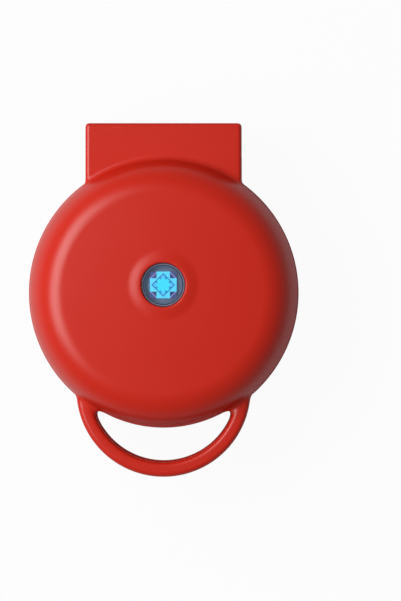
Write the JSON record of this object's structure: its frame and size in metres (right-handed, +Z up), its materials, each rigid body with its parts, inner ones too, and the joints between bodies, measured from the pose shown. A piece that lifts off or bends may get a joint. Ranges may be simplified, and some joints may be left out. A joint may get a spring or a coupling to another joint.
{
  "type": "mini waffle maker",
  "caption": "Round mini waffle maker with a hinged domed lid, toothed plates, a rear hinge block, a front loop handle and a lit round indicator.",
  "frame": {"origin": "centre of the outer box in X and Y, on the surface that the feet stand on", "axes": "+Y from the handle to the hinge block, +Z up, +X to the right seen from the handle"},
  "size_m": [0.13, 0.1698, 0.073],
  "materials": {
    "red_plastic": "satin moulded",
    "black_plastic": "heat-resistant, satin",
    "nonstick_plate": "cast, dark non-stick coating",
    "heater_steel": "heat-dulled",
    "shield_sheet": "mill sheet",
    "control_metal": "plated",
    "screw_steel": "zinc plated",
    "terminal_plastic": "moulded",
    "gland_plastic": "moulded",
    "lead_sleeve": "braided sleeve",
    "foot_rubber": "matte",
    "clear_window": "clear, polished",
    "bezel_plastic": "tinted",
    "jewel_plastic": "faceted, lit",
    "board_laminate": "laminate",
    "led_lens": "clear lens"
  },
  "bodies": {
    "base": {"base_shell": "red_plastic", "base_frame": "black_plastic", "lower_plate": "nonstick_plate", "lower_heater": "heater_steel", "lower_heat_shield": "shield_sheet", "thermostat": "control_metal", "thermostat_screws": "screw_steel", "base_frame_screws": "screw_steel", "lower_shield_screws": "screw_steel", "terminal_screws": "screw_steel", "hinge_pin_left": "screw_steel", "hinge_pin_right": "screw_steel", "terminal_block": "terminal_plastic", "cord_gland": "gland_plastic", "base_leads": "lead_sleeve", "hinge_lead_base": "lead_sleeve", "foot_front_left": "foot_rubber", "foot_front_right": "foot_rubber", "foot_rear_left": "foot_rubber", "foot_rear_right": "foot_rubber"},
    "lid": {"lid_shell": "red_plastic", "lid_frame": "black_plastic", "upper_plate": "nonstick_plate", "upper_heater": "heater_steel", "upper_heat_shield": "shield_sheet", "thermal_fuse": "control_metal", "fuse_clip": "control_metal", "fuse_clip_screws": "screw_steel", "board_screws": "screw_steel", "lid_frame_screws": "screw_steel", "upper_shield_screws": "screw_steel", "hinge_lead_lid": "lead_sleeve", "indicator_leads": "lead_sleeve", "indicator_window": "clear_window", "indicator_bezel": "bezel_plastic", "indicator_jewel": "jewel_plastic", "led_board": "board_laminate", "status_led": "led_lens"}
  },
  "joints": [
    {"name": "lid_hinge", "type": "hinge", "parent": "base", "child": "lid", "pos_m": [0, 0.076, 0.041], "axis": [-1, 0, 0], "range_deg": [0, 100]}
  ]
}
